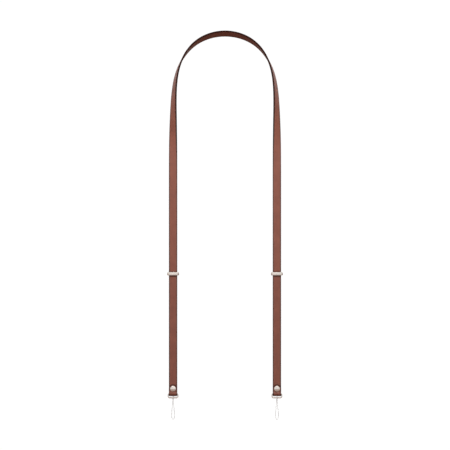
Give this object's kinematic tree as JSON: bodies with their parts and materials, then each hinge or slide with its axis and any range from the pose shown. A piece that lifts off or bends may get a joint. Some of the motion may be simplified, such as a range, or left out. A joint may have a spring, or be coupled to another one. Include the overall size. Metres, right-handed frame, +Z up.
{
  "type": "phone crossbody strap",
  "caption": "Flat leather strap that hangs round the neck in an arch, with metal sliders, snapped folds, rings and thin cord loops for a phone at both ends.",
  "frame": {"origin": "middle of the crown's inner face, where the strap lies on the back of the neck", "axes": "+Z up, +X towards the wearer's left, -Y to the front, the way the face of the legs looks"},
  "size_m": [0.207, 0.0837, 0.7022],
  "materials": {
    "leather": "smooth reddish brown leather with darker painted edges, satin",
    "metal": "polished pale silver",
    "cord": "fine white braided cord"
  },
  "bodies": {
    "root": {"strap_band": "leather", "slider_left": "metal", "slider_right": "metal", "snap_cap_left": "metal", "snap_cap_right": "metal", "snap_back_left": "metal", "snap_back_right": "metal", "ring_left": "metal", "ring_right": "metal", "phone_loop_left": "cord", "phone_loop_right": "cord"}
  },
  "joints": []
}
